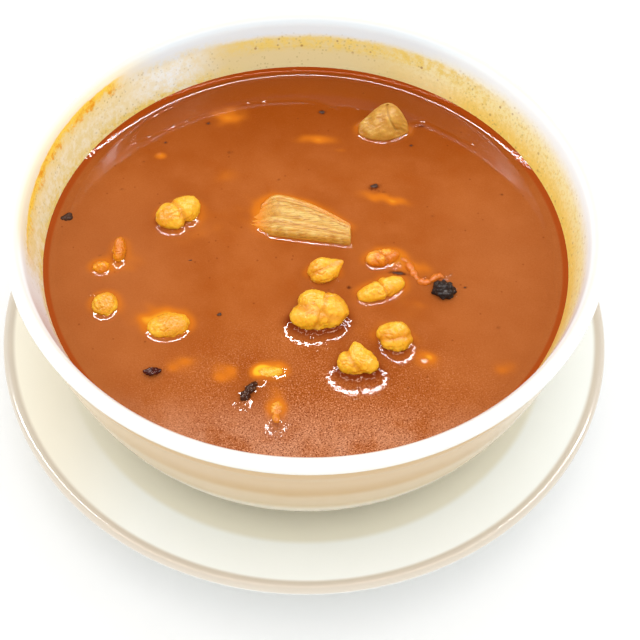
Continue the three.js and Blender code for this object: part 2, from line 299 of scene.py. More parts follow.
LUMPS = {
    "hominy_large": Lump(
        (4.1, -25.4), 1.3, (7.6, 6.1, 4.9), 5, (22, 0.17, 11), (1.5, 2.7),
        [(-135, 10, 0.22, 5), (100, 40, 0.14, 5), (-15, 10, 0.2, 7), (25, 30, 0.12, 12)],
        [(-115, -42, 0.09, 26), (165, 20, 0.08, 40)],
    ),
    "hominy_finger": Lump(
        (5.2, -10.6), 1, (5, 3.9, 3.4), 10, (9, 0.1, 8), (0.3, 1),
        [(6, 26, 0.5, 30), (120, 40, 0.12, 6), (-120, 10, 0.1, 5)], [(-70, -25, 0.08, 25)],
    ),
    "hominy_twin": Lump(
        (-39.3, 10.2), 0.7, (6.8, 5.2, 3.6), 38, (12, 0.1, 9), (0.86, 1.64),
        [(180, 5, 0.12, 4), (0, 20, 0.14, 4)], [(0, 0, 0.2, 16)],
    ),
    "hominy_thumb": Lump(
        (14.8, -42.2), 1, (5.4, 4.3, 3.9), 0, (9, 0.1, 8), (1.45, 2.6),
        [(100, 45, 0.36, 14), (-20, 15, 0.14, 6), (-150, 5, 0.12, 7)], [(25, 35, 0.14, 24)],
    ),
    "hominy_right": Lump(
        (25.6, -33.4), 0.9, (5.1, 4.5, 3.8), -15, (12, 0.12, 9), (1.05, 2.1),
        [(60, 50, 0.1, 6), (200, 20, 0.1, 8)], [(-60, -40, 0.1, 25)],
    ),
    "hominy_left": Lump(
        (-38.2, -31), -0.7, (5.9, 4.2, 2.9), 8, (8, 0.06, 8), (0.36, 1.1), [(20, 30, 0.12, 6)],
    ),
    "hominy_wall": Lump(
        (-57, -24.2), -0.7, (3.7, 4.1, 2.8), 0, (7, 0.06, 8), (0.4, 1.2), [(60, 40, 0.1, 8)],
    ),
    "hominy_ragged": Lump(
        (22.2, -16.2), -0.1, (7, 3.5, 2.6), 25, (16, 0.16, 12), (0.38, 1),
        [(0, 25, 0.12, 6), (180, 15, 0.12, 6), (90, 20, 0.1, 10)], [(5, 0, 0.22, 18)],
    ),
    "tripe_strip": Lump(
        (22.4, -4.5), -0.1, (5.2, 3, 2.3), 20, (14, 0.14, 12), (0.32, 0.9),
        [(0, 10, 0.1, 8), (150, 30, 0.12, 8)], [(20, 0, 0.15, 20)],
    ),
    "hominy_upright": Lump(
        (-55.2, -4.6), 0.1, (2, 4.4, 2.6), 3, (7, 0.08, 8), (0.72, 1.5), [(90, 40, 0.15, 6)],
    ),
    "hominy_nub": Lump((-60, -10.6), -0.9, (2.6, 2.3, 2), 0, (5, 0.06, 8), (0.32, 1)),
    "hominy_tip": Lump(
        (-9.2, -45.2), -2.5, (5, 2.7, 2.4), 5, (5, 0.05, 8), (0.08, 0.9), [(0, 45, 0.35, 18)],
    ),
    "hominy_end": Lump(
        (-6.6, -57.8), -2.5, (2.5, 4.6, 2.6), 0, (5, 0.05, 8), (0.7, 1.2), [(-90, 40, 0.35, 14)],
    ),
}
# Kernels that lie so low that the broth colours them.
SUNK_KERNELS = ("hominy_end", "hominy_upright", "hominy_nub")

FOLD_WIDTH = 0.34
FOLD_DEPTH = 0.24
WRINKLES = ((0.09, 1.9, 7), (0.045, 0.8, 8))  # depth, wavelength and seed

# The thin curl of tripe that trails from its strip, as points above the broth's level.
CURL_RADIUS = 1
CURL_SINK = 0.4
CURL_FIELD = 0.16  # the curl's crest, crease and lift
CURL = [
    (26.2, -3, -0.3), (29.4, -4.6, 0.2), (30.8, -7.6, 0.5), (32.4, -10.8, 0.2),
    (34.4, -12.6, 0.4), (36.4, -12, 0.5), (38.5, -10.2, 0.4), (40.5, -10.5, 0.4),
]


def sphere(rows, columns):
    """Unit vectors over a sphere: latitude from pole to pole by rows, longitude round each row."""
    latitude = np.radians(np.linspace(-90, 90, rows))[:, None]
    return raised(np.cos(latitude)[..., None] * spokes(columns), np.sin(latitude))


def lobe_height(direction, lump):
    """Domes round seeded directions. The highest dome counts, so creases run between them."""
    count, _, sharpness = lump.lobes
    draw = np.random.default_rng(int(100 + 10 * abs(lump.at[0])))
    middles = unit(draw.normal(size=(count, 3)))
    return np.exp(sharpness * ((direction @ middles.T).max(-1) - 1))


def groove_shares(direction, lump):
    """How far each direction lies in each of the lump's grooves, from 0 to 1: exp(-sharpness *
    distance from the groove's plane squared)."""
    return [np.exp(-sharp * (direction @ toward(a, e)) ** 2) for a, e, _, sharp in lump.grooves]


def lump_radius(direction, lump):
    """An ellipsoid's radius in each direction, times 1, plus height * exp(sharpness * (cosine of
    the angle to a bump - 1)) for each bump, less each groove, plus the lobes."""
    share = 1 + lump.lobes[1] * (lobe_height(direction, lump) - 0.6)
    for a, e, height, sharpness in lump.bumps:
        share += height * np.exp(sharpness * (direction @ toward(a, e) - 1))
    for (_, _, depth, _), groove in zip(lump.grooves, groove_shares(direction, lump)):
        share -= depth * groove
    return share / np.linalg.norm(direction / np.array(lump.size), axis=-1)


def lump_points(lump, rows, columns):
    """Directions over a sphere, and a lump's points in them, round its own middle."""
    direction = sphere(rows, columns)
    return direction, direction * lump_radius(direction, lump)[..., None]


def place_lump(points, lump):
    """A lump's points turned to its heading and moved to its place."""
    return spun(points, lump.turn) + np.array([*lump.at, FOOD_Z + lump.rise])


def lift_share(grid):
    """Height of each point, from the flat broth at 0 to the top at 1."""
    return np.clip((grid[..., 2] - SOUP_Z) / (grid[..., 2].max() - SOUP_Z), 0, 1)


def lump_grid(lump):
    """A lump with folds and fine wrinkles, and its fields: how much a point is a crest or lies in
    a groove or fold, and its height above the broth. Folds run where a relief crosses 0: depth *
    exp(-(relief / width) squared), here and there."""
    direction, points = lump_points(lump, 72, 120)
    fold = np.exp(-((ripple(points, 3.6, 9) / FOLD_WIDTH) ** 2)) * smooth(ripple(points, 6, 10), -0.5, 0.6)
    points -= direction * FOLD_DEPTH * fold[..., None]
    for depth, wavelength, seed in WRINKLES:
        points += direction * depth * ripple(points, wavelength, seed)[..., None]
    grid = place_lump(points, lump)
    crease = sum(groove_shares(direction, lump)) + 0.8 * fold
    return grid, {"crest": lobe_height(direction, lump), "crease": crease, "lift": lift_share(grid)}


def curl_grid(around=12, steps=90):
    """A flat tube along the curl: a smooth path through its points, with rings square to it that
    shrink at both ends and swell unevenly."""
    path = smooth_path(CURL, steps) + np.array([0, 0, SOUP_Z - CURL_SINK])
    ahead = unit(np.gradient(path, axis=0))
    side = unit(np.cross([0, 0, 1.0], ahead))
    above = np.cross(ahead, side)
    share = np.linspace(-1, 1, steps)
    swell = 1 + 0.2 * np.sin(11 * share) + 0.16 * np.sin(23 * share + 1) + 0.1 * np.sin(41 * share)
    radius = CURL_RADIUS * np.sqrt(1 - share**8) * swell
    cosine, sine = spokes(around).T[..., None]
    ring = cosine * side[:, None] + 0.7 * sine * above[:, None]
    return path[:, None] + radius[:, None, None] * ring


# -------------------------------- tripe slab and meat

SECTION_STEPS = 112


def station_grid(station, steps, ends, roundness):
    """x, y and z of a run of sections, and how far across and up each point is, from -1 to 1. A
    section is cosine and sine, each raised to the roundness with its sign kept, so that a low one
    gives a box. Stations crowd at both ends, where the sections close over a share of the length
    as a rounded edge does."""
    u = 0.5 - 0.5 * np.cos(np.pi * np.linspace(0, 1, steps))
    q = np.clip(1 - np.minimum(u, 1 - u) / ends, 0, 1)
    size = (1 - q[:, None] ** 3) ** (1 / 3)
    x, front, back, low, high = [value[:, None] for value in station(u)]
    wave = spokes(SECTION_STEPS).T[:, None]
    across, up = np.sign(wave) * np.abs(wave) ** roundness
    y = (front + back) / 2 + (back - front) / 2 * across * size
    z = (low + high) / 2 + (high - low) / 2 * up * size
    return x + 0 * y, y, z, across, up


def tripe_station(u):
    """The slab's x, front edge, back edge, bottom and top at each station."""
    x = -17.6 + 30.7 * u
    right = np.clip((x + 11) / 24, 0, 1)
    left = np.maximum(0, (-11 - x) / 7)
    front = 3.2 - 2.9 * right + 4.6 * left
    back = 19 - 11.5 * right**1.7 - 6.4 * left**1.3
    top = -0.8 + 3.7 * smooth(x, -18, -8) - 0.5 * right
    return x, front, back, np.full_like(x, -3.4), top


def tripe_grid():
    """The slab: boxy sections with ribs along their tops, ribs = sum of cosines across, whose
    places waver along the length. The top falls a little towards the back. A field tells how thin
    the slab is: it thins to the left and at the back right."""
    x, y, z, across, up = station_grid(tripe_station, 120, 0.02, 0.45)
    waver = 0.25 * ripple(np.stack([x[:, 0], 0 * x[:, 0]], -1), 14, 3)[:, None]
    ribs = 0.17 * np.cos(np.pi * 5 * across + waver) + 0.1 * np.cos(np.pi * 12.6 * across + 2 * waver)
    top = np.maximum(up, 0)
    grid = np.stack([x, y, FOOD_Z + z + top * (ribs - 0.35 * (across + 1) ** 1.5)], -1)
    streaks = ripple(grid * np.array([0.16, 1, 0.6]), 1.1, 21)
    grid[..., 2] += 0.045 * streaks * top
    crest = 0.55 + 0.2 * streaks * top + 1.1 * ribs * top
    crease = smooth(-ribs - 0.06 * streaks, 0.08, 0.2) * top
    thin = smooth(-x, 9.5, 15.5) + 0.7 * smooth(across + 0.02 * x, 0.5, 0.85) * (up > 0)
    thin = 0.85 * np.clip(thin, 0, 1)
    return grid, {"crest": crest, "crease": crease, "thin": thin, "lift": lift_share(grid)}


def meat_station(u):
    """The chunk's x, front edge, back edge, bottom and top at each station."""
    front = 44.3 + 13 * (u - 0.45) ** 2
    back = 54.6 - 16 * (u - 0.5) ** 2
    low = -1 - 2.6 * np.sin(np.pi * u)
    high = 1.3 + 5.5 * np.sin(np.pi * u**1.35)
    return 15.4 + 16.2 * u, front, back, low, high


def meat_grid():
    """The chunk: rounded sections that lean back above the broth, a crease that runs from the
    peak down to the right, and a fine grain."""
    x, y, z, _, _ = station_grid(meat_station, 110, 0.05, 0.8)
    y = y + 0.42 * np.maximum(z, 0)
    grid = np.stack([x, y, FOOD_Z + z], -1)
    crease = np.exp(-(((x - 24.6) - 0.75 * (6.4 - z)) ** 2) / 0.25) * smooth(z, 1.6, 3) * (y < 54)
    grain = ripple(grid * np.array([0.35, 1, 0.7]), 1.3, 31)
    facets = ripple(grid, 5.5, 32)
    lift = (0.07 * grain + 0.22 * facets - 0.5 * crease) * smooth(z, -0.5, 1.5)
    grid += lift[..., None] * np.array([0, -1, 1])
    return grid, {"crest": 0.5 + 0.25 * grain + 0.2 * facets, "crease": crease, "lift": lift_share(grid)}


# -------------------------------- the broth's surface

SOUP_REACH = 0.2  # how far the broth reaches into the wall, so that no gap shows
WALL_RISE = 1.6  # how far the broth climbs the wall
WALL_REACH = 4.2  # distance from the wall at which it starts to climb
WALL_BEADS = 0.01  # unevenness of the meniscus along the wall
FOOD_BEADS = 0.018  # and of those round food
SHORE_STEPS = 168  # points of each waterline
DISC_STEPS = 270  # squares across the disc of broth
EDGE_STEPS = 1080  # points of each ring along the wall
COLLAR_FROM = 6.2  # inside this distance from food or wall the disc lies hidden under collars
COLLAR_WIDTH = 8.6  # of the finer broth round food and along the wall
COLLAR_DROP = 0.15  # how far the disc is let down under the collars
LINE_WIDTH = 0.36  # of a ridge in the broth's skin
GLOW = 0.52  # how strongly food glows through the broth at its waterline
GLOW_REACH = 2.2
CALM = 0.6  # how much less froth there is at a waterline
CALM_REACH = 2.4
SHADE_RISE = 1.4  # a climb that shades in full
TRIPE_MENISCUS = (0.42, 1.1)
MEAT_MENISCUS = (0.5, 1)

# Points that only just lift the broth's skin: x, y, radius, and the meniscus.
DIMPLES = [
    (-6.4, -43.6, 1.1, 0.5, 1), (-11.7, -47.9, 1, 0.36, 0.8), (-13.5, -50.9, 0.55, 0.2, 0.6),
    (-15.6, -50.6, 1.6, 0.2, 0.8), (-15.8, -53.9, 2, 0.34, 0.9), (33.7, -39.4, 0.5, 0.16, 0.6),
    (-57.6, 40.6, 0.4, 0.27, 0.5), (-47.7, 35.4, 0.35, 0.22, 0.5),
]

# Food wholly sunk in the broth, which shows as a blurred glow: x, y, half sizes, turn, strength.
SUNK = [
    (-27, 54, 5.5, 4.5, 0, 0.5), (2, 44.6, 7, 2.2, 0, 0.5), (23.5, 19.9, 7.5, 2.2, -12, 0.55),
    (-26.1, 27.6, 5, 3.5, 20, 0.22), (-47.5, 35.2, 2, 1.5, 0, 0.5), (-33.6, -43.5, 4.5, 3.5, 0, 0.35),
    (-21.3, -46, 3.6, 3.2, 0, 0.55), (34.3, -39.5, 3.6, 3, 0, 0.5), (55.7, -41.7, 4, 3, 20, 0.3),
    (50.5, 51.6, 4, 3, 0, 0.12), (9.8, 40, 2, 1, 0, 0.3), (-11.6, -45, 2.3, 1.7, 20, 1),
    (-6.6, -44.2, 2.6, 2.4, 0, 0.15), (-6.8, -55, 2.8, 4.4, 0, 0.45), (-52, -9, 6, 4, 30, 0.2),
    (31, -22, 6, 4, 0, 0.15), (30, -6, 9, 3.2, -25, 0.45), (-42, -28, 7, 4.5, 0, 0.45),
    (20, -34, 14, 9, 0, 0.12), (-35, 6, 10, 8, 0, 0.18), (-8, 12, 16, 9, 0, 0.2),
]

# Dark scraps just under the surface, which show as soft smudges, in the same way.
SMUDGES = [
    (27, -9.4, 2.6, 0.8, -8, 1.1), (20.4, 24.6, 2, 1.3, 20, 0.9), (3.4, 57.2, 1.5, 1.2, 0, 0.8),
    (23, 22.6, 1.8, 0.7, 0, 0.35), (-24.2, -26.2, 1, 0.8, 0, 0.6), (-33.5, 50.4, 1, 0.8, 0, 0.8),
    (-46.6, 41.2, 0.9, 0.7, 0, 0.6), (-25.5, 37.6, 1.6, 1.1, 0, 0.4), (-52.5, 32.3, 0.7, 0.5, 0, 0.5),
    (32.4, 43.1, 0.8, 0.6, 0, 0.8), (36, 52, 1.6, 0.8, 20, 0.6), (-57.7, 20.4, 1, 0.6, 0, 0.45),
    (38.1, 13.1, 0.8, 0.6, 0, 0.4), (60, 23, 0.7, 0.6, 0, 0.5), (43.1, 8, 0.8, 0.6, 0, 0.35),
    (46.4, -14, 0.6, 0.5, 0, 0.7), (10.6, -22, 0.7, 0.6, 0, 0.5), (12.6, -15.3, 0.8, 0.7, 0, 0.8),
    (-9.6, 26.5, 0.8, 0.6, 0, 0.4), (55, -28, 0.7, 0.6, 0, 0.5), (-61, -6, 0.7, 0.5, 0, 0.4),
    (-15, -2, 0.7, 0.5, 0, 0.3), (3, -48, 0.7, 0.5, 0, 0.4), (29, -49, 0.7, 0.5, 0, 0.4),
]

# Thin ridges in the broth's skin: the height of each, then places along it.
SKIN_LINES = [
    (0.14, [
        (-58, 39.6), (-57.7, 41.9), (-55.4, 41.5), (-51.8, 43.9), (-47.9, 46.4), (-42.7, 49.8),
        (-35, 55.2),
    ]),
    (0.12, [(-57.7, 41.9), (-56.5, 45.5), (-52.7, 51.7), (-48.2, 56.1), (-42.7, 59.9)]),
    (0.12, [(-23.8, 60), (-18.9, 61.1), (-7.4, 62.6), (-0.7, 62.4), (4.3, 60.7), (9.3, 57.6)]),
    (0.13, [(25.1, 53.1), (32.3, 53.4), (37.6, 54.1), (44, 50.2), (51.5, 45), (54, 43.8)]),
]

WALL_RADII, WALL_HEIGHTS = inside_wall(200)[::-1].T
SHORE_R = np.interp(SOUP_Z + WALL_RISE, WALL_HEIGHTS, WALL_RADII) + SOUP_REACH


def lump_shore(lump):
    """Radius of a lump's waterline in each of SHORE_STEPS headings: the outermost of a row of
    trial points inside the lump, at the height to which the broth climbs it."""
    own = headings(SHORE_STEPS)[:, None] - math.radians(lump.turn)
    reach = np.linspace(0.02, 1.6 * max(lump.size), 500)[None]
    level = SOUP_Z + lump.meniscus[0] - FOOD_Z - lump.rise
    points = raised(np.stack([reach * np.cos(own), reach * np.sin(own)], -1), level)
    distance = np.linalg.norm(points, axis=-1)
    inside = distance < lump_radius(points / distance[..., None], lump)
    return np.where(inside, reach, 0.02).max(1)


def angle_of(offset):
    """Heading of each offset, from 0 to a full turn, in radians."""
    return np.arctan2(offset[:, 1], offset[:, 0]) % (2 * np.pi)


def station_shore(station, middle):
    """The same for a piece that is given by stations: its front and back edges and two ends make
    a closed outline, whose radius from a middle is read in each heading."""
    x, front, back, _, high = station(np.linspace(0, 1, 200))
    wet = high > 0
    edges = [np.stack([x, edge], -1)[wet] for edge in (front, back)]
    ends = [np.linspace(edges[0][i], edges[1][i], 60) for i in (0, -1)]
    offset = np.concatenate([*edges, *ends]) - middle
    order = np.argsort(angle_of(offset))
    offset = offset[order]
    return np.interp(headings(SHORE_STEPS), angle_of(offset), np.hypot(*offset.T), period=2 * np.pi)


def food_shores():
    """Each piece's waterline: its middle, its radius in each heading, and its meniscus."""
    shores = [(np.array(lump.at), lump_shore(lump), lump.meniscus) for lump in LUMPS.values()]
    tripe_middle, meat_middle = np.array([-1, 8.6]), np.array([23.5, 49.5])
    shores.append((tripe_middle, station_shore(tripe_station, tripe_middle), TRIPE_MENISCUS))
    shores.append((meat_middle, station_shore(meat_station, meat_middle), MEAT_MENISCUS))
    return shores


def dimple_shore(number, x, y, radius, *meniscus):
    """A dimple's waterline: an uneven circle."""
    heading = headings(SHORE_STEPS)
    uneven = 1 + 0.1 * np.sin(2 * heading + number) + 0.06 * np.sin(5 * heading + 2 * number)
    return np.array([x, y]), radius * uneven, meniscus


FOOD_SHORES = food_shores()
DIMPLE_SHORES = [dimple_shore(number, *dimple) for number, dimple in enumerate(DIMPLES)]
SHORES = FOOD_SHORES + DIMPLE_SHORES


def shore_distance(places, shore, reach):
    """Which places lie near a waterline, as a mask, and the distance of those from it, which is 0
    inside it."""
    middle, radius, _ = shore
    near = np.hypot(*(places - middle).T) < radius.max() + reach
    offset = places[near] - middle
    line = radius[:, None] * spokes(SHORE_STEPS)
    own = np.interp(angle_of(offset), headings(SHORE_STEPS), radius, period=2 * np.pi)
    distance = np.sqrt(((offset[:, None] - line) ** 2).sum(-1).min(1))
    return near, np.where(np.hypot(*offset.T) < own, 0, distance)


def blots(places, spots):
    """Sum of soft ovals: strength * exp(-distance squared), with distance in half sizes."""
    total = np.zeros(len(places))
    for *at, length, width, turn, strength in spots:
        x, y, _ = toward(turn, 0)
        offset = places - at
        along, beside = offset @ np.array([x, y]), offset @ np.array([-y, x])
        total += strength * np.exp(-((along / length) ** 2) - (beside / width) ** 2)
    return total


FIELDS = ("glow", "shade", "froth", "smudge")


def broth_fields(places):
    """At each place: the broth's height above its level, how much it glows over food, how deep it
    shades beside food, its froth and its smudges. It climbs food by rise * exp(-distance / reach),
    and the wall by rise * (1 - distance / reach) squared. Both are a little uneven."""
    from_wall = SHORE_R - SOUP_REACH - np.hypot(*places.T)
    beads = ripple(places, 1.5, 54)
    height = WALL_RISE * np.clip(1 - from_wall / WALL_REACH, 0, 1.1) ** 2 * (1 + WALL_BEADS * beads)
    glow, shade = np.zeros((2, len(places)))
    froth = smooth(58 - np.hypot(0.75 * (places[:, 0] - 5), places[:, 1] + 70), 6, 52)
    for number, shore in enumerate(SHORES):
        near, distance = shore_distance(places, shore, 14)
        middle, _, (rise, reach) = shore
        climb = rise * np.exp(-distance / reach)
        height[near] += climb * (1 + FOOD_BEADS * beads[near])
        if number < len(FOOD_SHORES):
            in_front = smooth(middle[1] - places[near, 1], -1, 4)
            behind = (1 - 0.55 * rise) * (1 - 0.55 * in_front)
            glow[near] += GLOW * np.exp(-((distance / GLOW_REACH) ** 2)) * behind
            shade[near] += climb / SHADE_RISE * (0.45 + 0.55 * in_front)
        froth[near] *= 1 - CALM * np.exp(-((distance / CALM_REACH) ** 2))
    glow += blots(places, SUNK) * np.exp(0.25 * ripple(places, 6, 51))
    smudge = blots(places, SMUDGES) * np.exp(0.3 * ripple(places, 1.4, 53))
    height += 0.006 * ripple(places, 1.3, 52)
    return height, np.clip(glow, 0, 1.2), np.clip(shade, 0, 1), froth, np.clip(smudge, 0, 1)


def skin(places, lift, faces):
    """The broth's surface over a grid of places, with a lift added to its height."""
    flat = places.reshape(-1, 2)
    height, *values = broth_fields(flat)
    lift = np.broadcast_to(lift, places.shape[:-1]).ravel()
    return raised(flat, SOUP_Z + height + lift), [faces], dict(zip(FIELDS, values))


def disc_places(steps):
    """Evenly spread places on a disc of radius 1: a square grid whose rings of squares are bent
    into circles, so heading is 45 degrees times the ratio of the two coordinates."""
    line = np.linspace(-1, 1, steps + 1)
    a, b = np.meshgrid(line, line)
    wide = np.abs(a) > np.abs(b)
    radius = np.where(wide, a, b)
    ratio = np.divide(np.where(wide, b, a), radius, out=np.zeros_like(a), where=radius != 0)
    turn = np.pi / 4 * ratio
    x = radius * np.where(wide, np.cos(turn), np.sin(turn))
    y = radius * np.where(wide, np.sin(turn), np.cos(turn))
    return np.stack([x, y], -1).reshape(-1, 2)


def border_of(side):
    """Point numbers along the border of a square grid, anticlockwise from its first corner."""
    number = np.arange(side * side).reshape(side, side)
    return np.concatenate([number[0], number[1:, -1], number[-1, -2::-1], number[-2:0:-1, 0]])


def broth_shape():
    """The broth as one closed shape: an even grid over its surface, then rings down along the
    bowl's inside, closed at the floor. Under the collars and the edge it is let down a little."""
    places = disc_places(DISC_STEPS) * SHORE_R
    nearest = SHORE_R - np.hypot(*places.T)
    for shore in SHORES:
        near, distance = shore_distance(places, shore, 10)
        nearest[near] = np.minimum(nearest[near], distance)
    drop = COLLAR_DROP * smooth(-nearest, -COLLAR_FROM, 1.2 - COLLAR_FROM)
    side = DISC_STEPS + 1
    top, faces, fields = skin(places, -drop, sheet_faces(side, side))
    border = border_of(side)
    wall = [p for p in inside_wall(9) if p[1] < SOUP_Z - 1]
    rings = [raised(places[border] / SHORE_R * (r + SOUP_REACH), z - SOUP_REACH) for r, z in wall]
    below = len(top) + len(rings) * len(border)
    numbers = np.concatenate([border, np.arange(len(top), below)])
    skirt = numbers[band_faces(len(rings) + 1, len(border))[:, ::-1]]
    floor = fan(below, numbers[-len(border):][::-1])
    points = np.concatenate([top, *rings, [(0, 0, rings[-1][0, 2])]])
    plain = np.zeros(len(points) - len(top))
    fields = {key: np.concatenate([values, plain]) for key, values in fields.items()}
    return points, [*faces, skirt, floor], fields


def overlap(distance):
    """Lift of a collar: a hair above the disc, and a hair below it at its far edge."""
    return 0.012 - 0.017 * smooth(distance, COLLAR_FROM, COLLAR_WIDTH)


def collar_shape(shore, inner, rings=26):
    """The broth close round one piece: rings at growing distances from its waterline, from inner
    on."""
    middle, radius, _ = shore
    start = np.maximum(radius + inner, 0.03)
    reach = start + (radius + COLLAR_WIDTH - start) * np.linspace(0, 1, rings)[:, None] ** 1.25
    places = middle + reach[..., None] * spokes(SHORE_STEPS)
    return skin(places, overlap(reach - radius), band_faces(rings, SHORE_STEPS)[:, ::-1])


def edge_shape(rings=26):
    """The broth along the wall: rings from the wall inwards."""
    way_in = COLLAR_WIDTH * np.linspace(0, 1, rings)[:, None] ** 1.3
    places = (SHORE_R - way_in)[..., None] * spokes(EDGE_STEPS)
    return skin(places, overlap(way_in), band_faces(rings, EDGE_STEPS))


def line_shape(height, knots, steps=150, columns=15):
    """A ribbon of broth with a ridge along its middle: height * exp(-(offset / width) squared),
    which is uneven and dies away at both ends."""
    path = smooth_path(knots, steps)
    ahead = unit(np.gradient(path, axis=0))
    right = np.stack([ahead[:, 1], -ahead[:, 0]], -1)
    offset = np.linspace(-1.3, 1.3, columns)
    share = np.linspace(0, 1, steps)
    ends = smooth(np.minimum(share, 1 - share), 0, 0.12) * (1 + 0.2 * ripple(path, 2.2, 55))
    ridge = height * ends[:, None] * np.exp(-((offset / LINE_WIDTH) ** 2))
    lift = ridge + 0.02 - 0.035 * smooth(np.abs(offset), 0.9, 1.3)
    return skin(path[:, None] + offset[:, None] * right[:, None], lift, sheet_faces(steps, columns))


# -------------------------------- bits in the surface

# Dark bits that lie in the surface: the look's name, colour, sheen, depth and dullness, and a lump.
BITS = {
    "burnt_chile": (
        ("char", (40, 30, 28), (84, 66, 56), 0.34, 0.08),
        Lump((40, -15.7), 0.1, (3.6, 3.2, 1.8), -10, (34, 0.26, 34), None),
    ),
    "herb_scrap": (
        ("herb", (66, 34, 20), (112, 74, 42), 0.3, 0.1),
        Lump(
            (-14.7, -52.4), 0, (3.9, 1.5, 1.1), 62, (18, 0.34, 18), None,
            [(0, 0, 0.1, 6)], [(0, 0, 0.25, 12)],
        ),
    ),
    "chile_skin_strip": (
        ("chile_skin", (66, 18, 12), (104, 34, 20), 0.2, 0.12),
        Lump(
            (-40.9, -46.5), 0.1, (3.1, 1.2, 0.7), 4, (9, 0.3, 10), None,
            [(-90, 10, 0.3, 8)], [(20, 0, 0.2, 20)],
        ),
    ),
}

# Small ones of one shape: x, y, half sizes and turn.
CRUMB = Lump((0, 0), 0, (1, 1, 1), 0, (7, 0.3, 8), None)
CRUMBS = [
    (-73, 8.4, 2.5, 1.9, 1.7, 30), (27, -9.4, 2.2, 0.6, 0.35, -6), (20.4, 25, 1.4, 1, 0.6, 20),
    (3.4, 57.2, 1.1, 0.8, 0.45, 0), (-24.2, -26.2, 0.8, 0.65, 0.45, 30), (-33.5, 50.4, 0.5, 0.4, 0.25, 0),
    (-46.6, 41.2, 0.4, 0.3, 0.2, 40), (-34.2, -6.8, 0.7, 0.25, 0.2, 10), (32.4, 43.1, 0.5, 0.4, 0.25, 0),
    (46.4, -14, 0.4, 0.3, 0.25, 0), (12.6, -15.3, 0.5, 0.45, 0.3, 0),
]

# Sprays of tiny bubbles: x, y, spread and count.
SPRAYS = [
    (-15.8, -56.4, 1.9, 26), (41.5, -15.5, 2.6, 18), (-6.3, -62.6, 2.2, 26), (-73, 8, 1.2, 8),
    (-61.2, -20.4, 0.9, 9), (-57.6, 40.8, 0.7, 4), (-14, -49, 1.5, 10), (26, -6.4, 2, 8),
    (4.4, -35, 5, 8), (15, -51, 4, 10), (42.4, -9.5, 0.6, 3),
]

# Larger bubbles: x, y and radius.
LONE_BUBBLES = np.array([
    (30.9, -6.9, 0.62), (41, -10.3, 0.5), (34.9, -10.6, 0.36), (-36.7, 15.4, 0.3), (17.5, -21.7, 0.34),
])


def bit_shape(lump):
    """A dark bit: a lump with strong lobes, crumpled by fine relief."""
    direction, points = lump_points(lump, 40, 64)
    points += direction * 0.12 * ripple(points, 1.2, 61)[..., None]
    return closed_shape(place_lump(points, lump))


def crumbs_shape():
    """Small dark bits, each half sunk."""
    shape = closed_shape(lump_points(CRUMB, 14, 22)[1])
    rows = np.array(CRUMBS)
    places = raised(rows[:, :2], SOUP_Z - 0.5 * rows[:, 4])
    return copies(shape, places, rows[:, 2:5], rows[:, 5], {})


def bubble_shape(rows=7, columns=12):
    """A bubble of radius 1: a flattened dome, ringed by the broth that it draws up."""
    out = np.linspace(0, 2.4, rows)[::-1, None]
    dome = 0.62 * np.sqrt(np.clip(1 - out**2, 0, 1))
    ring = 0.22 * np.exp(-np.abs(out - 1) / 0.35)
    height = np.maximum(dome, ring) - 0.1 * smooth(out, 1.7, 2.4)
    grid = raised(out[..., None] * spokes(columns), height)
    last = (rows - 1) * columns
    top = fan(last, last - columns + np.arange(columns))
    return grid.reshape(-1, 3)[:last + 1], [band_faces(rows - 1, columns), top], {}


def bubbles_shape():
    """Seeded sprays of tiny bubbles and a few larger ones, with the broth's fields at each."""
    draw = np.random.default_rng(71)
    places = [at + draw.normal(0, spread * 0.6, (count, 2)) for *at, spread, count in SPRAYS]
    places = np.concatenate([*places, LONE_BUBBLES[:, :2]])
    sizes = draw.uniform(0.14, 0.4, len(places))
    sizes[-len(LONE_BUBBLES):] = LONE_BUBBLES[:, 2]
    points, _, fields = skin(places, 0, [])
    return copies(bubble_shape(), points, np.repeat(sizes[:, None], 3, 1), 0 * sizes, fields)


# -------------------------------- shader building


def tone(red, green, blue):
    """A colour given as it looks on a screen, from 0 to 255, as linear light."""
    parts = [c / 255 for c in (red, green, blue)]
    return (*[p / 12.92 if p < 0.04045 else ((p + 0.055) / 1.055) ** 2.4 for p in parts], 1)


class Value:
    """A number that varies over a surface. Arithmetic on it adds the Math nodes."""

    def __init__(self, look, socket):
        self.look = look
        self.socket = socket

    def math(self, operation, *numbers):
        return self.look.node("ShaderNodeMath", {"operation": operation}, dict(enumerate(numbers)))

    def __add__(self, other):
        return self.math("ADD", self, other)

    def __sub__(self, other):
        return self.math("SUBTRACT", self, other)

    def __rsub__(self, other):
        return self.math("SUBTRACT", other, self)

    def __mul__(self, other):
        return self.math("MULTIPLY", self, other)

    def __pow__(self, other):
        return self.math("POWER", self, other)

    __radd__ = __add__
    __rmul__ = __mul__

    def clear(self):
        """Kept between 0 and 1."""
        return self.look.node("ShaderNodeClamp", {}, {0: self})

    def step(self, low, high):
        """0 at low and 1 at high, with a smooth S between them. low may be above high."""
        settings = {"interpolation_type": "SMOOTHSTEP"}
        return self.look.node("ShaderNodeMapRange", settings, {0: self, 1: low, 2: high, 3: 0, 4: 1})

    def between(self, low, full, fall, high):
        """0 up to low, 1 from full to fall, and 0 from high on."""
        return self.step(low, full) * self.step(high, fall)


